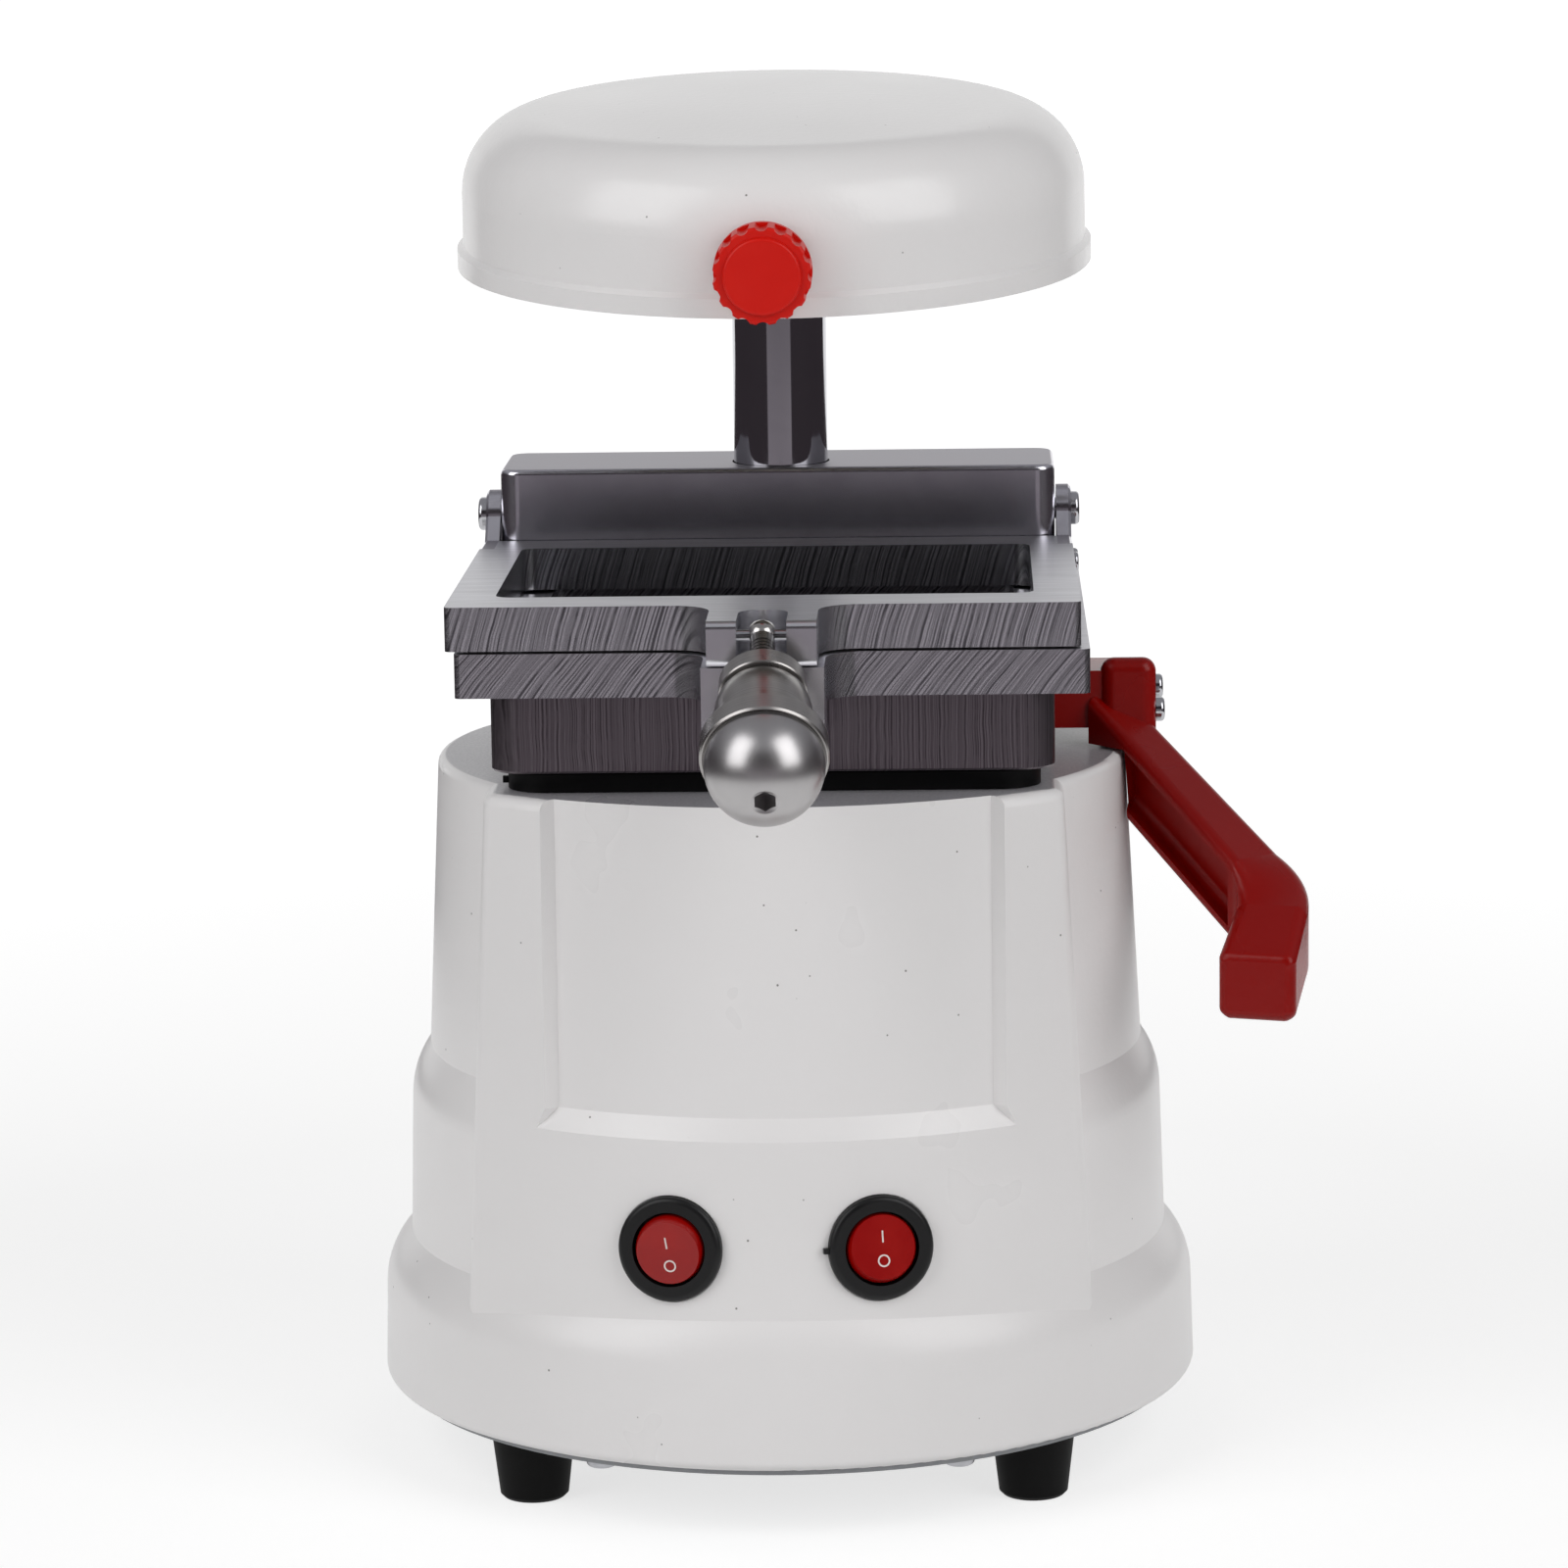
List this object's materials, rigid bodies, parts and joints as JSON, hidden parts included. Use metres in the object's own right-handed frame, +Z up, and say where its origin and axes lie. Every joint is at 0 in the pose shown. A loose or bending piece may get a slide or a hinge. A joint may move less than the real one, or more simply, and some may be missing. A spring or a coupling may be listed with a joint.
{
  "type": "dental vacuum former",
  "caption": "Bench dental vacuum former: round cast base with suction motor, sliding sheet frame with swing clamp and lift handle, and a swivelling domed heater on a column.",
  "frame": {"origin": "on the bench, at the level of the feet, on the axis of the round housing", "axes": "+Z up along the housing's axis; the switches and the clamp knob face -Y; +X is the side of the lift handle"},
  "size_m": [0.2091, 0.2313, 0.308],
  "materials": {
    "white_coat": "gloss powder coat with a light orange peel",
    "grey_paint": "matte paint",
    "red_coat": "gloss red coat",
    "red_plastic": "satin moulded",
    "red_rocker": "translucent red, white marks",
    "black_plastic": "semi-gloss",
    "black_rubber": "matte",
    "black_gasket": "matte",
    "chrome": "polished",
    "milled_aluminium": "milled edges, brushed",
    "polished_aluminium": "polished",
    "motor_aluminium": "plain",
    "perforated_steel": "brushed",
    "turned_steel": "turned",
    "satin_steel": "satin, knurled rim",
    "satin_ball": "fine turned satin",
    "bright_screws": "bright",
    "steel_screws": "zinc plated",
    "bearing_steel": "ground",
    "iron_core": "laminated",
    "brass_bush": "turned",
    "reflector": "bright",
    "ceramic_white": "matte",
    "heater_tube": "heat-darkened"
  },
  "bodies": {
    "base": {"base_housing": "white_coat", "inlet_gland": "black_rubber", "bottom_cover": "grey_paint", "cover_screws": "steel_screws", "foot_front_left": "black_rubber", "foot_front_right": "black_rubber", "foot_rear_left": "black_rubber", "foot_rear_right": "black_rubber", "foot_screws": "steel_screws", "heating_switch_body": "black_plastic", "motor_switch_body": "black_plastic", "column": "chrome", "column_washer": "steel_screws", "column_nut": "steel_screws", "thrust_washer": "brass_bush", "sealing_gasket": "black_gasket", "model_platform": "perforated_steel", "fan_case": "motor_aluminium", "suction_duct": "black_gasket", "motor_can": "motor_aluminium", "motor_stator": "iron_core", "motor_bearings": "bearing_steel", "motor_mount_ring": "bearing_steel", "motor_mount_screws": "steel_screws"},
    "carriage": {"lower_frame_plate": "milled_aluminium", "chamber_skirt": "milled_aluminium", "skirt_screws": "steel_screws", "carriage_block": "polished_aluminium", "carriage_bushes": "brass_bush", "carriage_screws": "steel_screws", "hinge_screws": "bright_screws", "lift_handle": "red_coat", "handle_screws": "bright_screws"},
    "upper_frame": {"upper_frame_plate": "milled_aluminium", "hinge_strap_left": "polished_aluminium", "hinge_strap_right": "polished_aluminium", "strap_screws": "bright_screws", "fork_cross_pin": "bearing_steel"},
    "clamp_stud": {"swing_stud": "turned_steel"},
    "collar": {"clamp_collar": "turned_steel"},
    "knob": {"clamp_knob": "satin_steel", "knob_ball": "satin_ball"},
    "heater_head": {"heater_dome": "white_coat", "heater_set_screw": "steel_screws", "reflector_pan": "reflector", "ceramic_disc": "ceramic_white", "ceramic_spacers": "ceramic_white", "heating_element": "heater_tube", "heater_screws": "steel_screws", "heater_knob": "red_plastic", "heater_knob_stud": "steel_screws"},
    "heating_switch_rocker": {"heating_rocker": "red_rocker"},
    "motor_switch_rocker": {"motor_rocker": "red_rocker"},
    "rotor": {"impeller": "motor_aluminium", "armature": "iron_core", "motor_shaft": "bearing_steel"}
  },
  "joints": [
    {"name": "carriage_slide", "type": "slide", "parent": "base", "child": "carriage", "axis": [0, 0, 1], "range_m": [0, 0.05]},
    {"name": "upper_frame_hinge", "type": "hinge", "parent": "carriage", "child": "upper_frame", "pos_m": [-0.0016, 0.052, 0.2054], "axis": [-1, 0, 0], "range_deg": [0, 22]},
    {"name": "stud_swing", "type": "hinge", "parent": "upper_frame", "child": "clamp_stud", "pos_m": [-0.0009, -0.084, 0.1966], "axis": [-1, 0, 0], "range_deg": [0, 110]},
    {"name": "collar_travel", "type": "slide", "parent": "clamp_stud", "child": "collar", "axis": [0.034, -0.8824, -0.4692], "range_m": [-0.0001, 0.004]},
    {"name": "knob_turn", "type": "hinge", "parent": "collar", "child": "knob", "pos_m": [-0.0009, -0.084, 0.1966], "axis": [0.034, -0.8824, -0.4692], "range_deg": [-37, 1443]},
    {"name": "heater_swing", "type": "hinge", "parent": "base", "child": "heater_head", "pos_m": [-0.001, 0.055, 0.279], "axis": [0, 0, 1], "range_deg": [-135, 135]},
    {"name": "heating_rocker_tilt", "type": "hinge", "parent": "base", "child": "heating_switch_rocker", "pos_m": [-0.02237, -0.08299, 0.06344], "axis": [0.9655, -0.2202, 0.1389], "range_deg": [-18, 0]},
    {"name": "motor_rocker_tilt", "type": "hinge", "parent": "base", "child": "motor_switch_rocker", "pos_m": [0.02237, -0.08299, 0.06344], "axis": [0.973, 0.2306, 0], "range_deg": [0, 18]},
    {"name": "motor_spin", "type": "hinge", "parent": "base", "child": "rotor", "pos_m": [0, -0.008, 0.06], "axis": [0, 0, 1], "continuous": true}
  ],
  "couplings": [
    {"joint": "knob_turn", "follows": "collar_travel", "rad_per_m": 6283.2}
  ]
}
